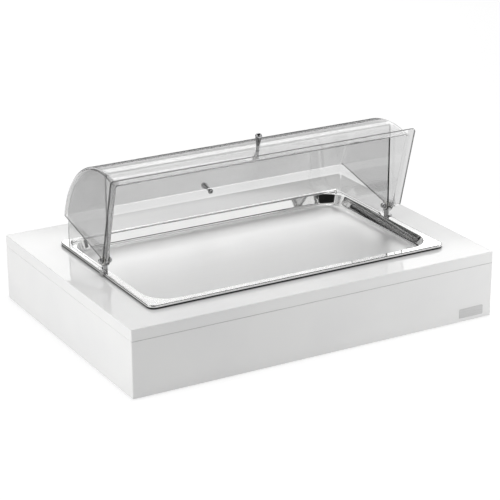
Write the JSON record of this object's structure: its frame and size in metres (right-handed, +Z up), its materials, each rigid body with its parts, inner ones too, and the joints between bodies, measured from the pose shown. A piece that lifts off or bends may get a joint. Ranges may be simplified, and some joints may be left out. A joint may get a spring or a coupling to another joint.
{
  "type": "chilled display tray",
  "caption": "White insulated buffet base with a stainless steel tray over cooling packs and a clear two-shell roll-top cover whose front shell swings open on side pivots.",
  "frame": {"origin": "on the table, under the middle of the box", "axes": "+X along the front to the right, +Y to the rear, +Z up; the front cover shell is open"},
  "size_m": [0.645, 0.4603, 0.3084],
  "materials": {
    "white_lacquer": "gloss",
    "raw_board": "matte",
    "plate_metal": "satin",
    "tray_steel": "satin",
    "bracket_steel": "satin",
    "chrome": "polished",
    "screw_steel": "satin",
    "clear_cover": "gloss",
    "nylon": "satin",
    "foam": "matte",
    "pack_plastic": "satin",
    "cap_plastic": "satin",
    "foot_rubber": "matte"
  },
  "bodies": {
    "base": {"front_panel": "white_lacquer", "rear_panel": "white_lacquer", "left_panel": "white_lacquer", "right_panel": "white_lacquer", "top_frame": "white_lacquer", "bottom_panel": "raw_board", "corner_blocks": "raw_board", "frame_dowels": "raw_board", "badge_plate": "plate_metal", "bottom_screws": "screw_steel", "insulation_liner": "foam", "ice_pack_left": "pack_plastic", "ice_pack_right": "pack_plastic", "ice_pack_caps": "cap_plastic", "foot_pads": "foot_rubber"},
    "tray": {"gn_tray": "tray_steel"},
    "cover": {"left_bracket": "bracket_steel", "right_bracket": "bracket_steel", "rear_shell": "clear_cover", "pivot_bolts": "screw_steel", "inner_dome_nuts": "chrome", "outer_dome_nuts": "chrome", "inner_washers": "nylon", "middle_washers": "nylon", "outer_washers": "nylon", "rear_knob": "chrome", "rear_knob_screw": "screw_steel", "rear_knob_washer": "screw_steel"},
    "front_shell": {"front_shell": "clear_cover", "pivot_bushes": "nylon", "front_knob": "chrome", "front_knob_screw": "screw_steel", "front_knob_washer": "screw_steel"}
  },
  "joints": [
    {"name": "tray_lift", "type": "slide", "parent": "base", "child": "tray", "axis": [0, 0, 1], "range_m": [0, 0.08]},
    {"name": "cover_lift", "type": "slide", "parent": "tray", "child": "cover", "axis": [0, 0, 1], "range_m": [0, 0.06]},
    {"name": "front_shell_hinge", "type": "hinge", "parent": "cover", "child": "front_shell", "pos_m": [0, -0.016, 0.137], "axis": [1, 0, 0], "range_deg": [0, 75]}
  ]
}
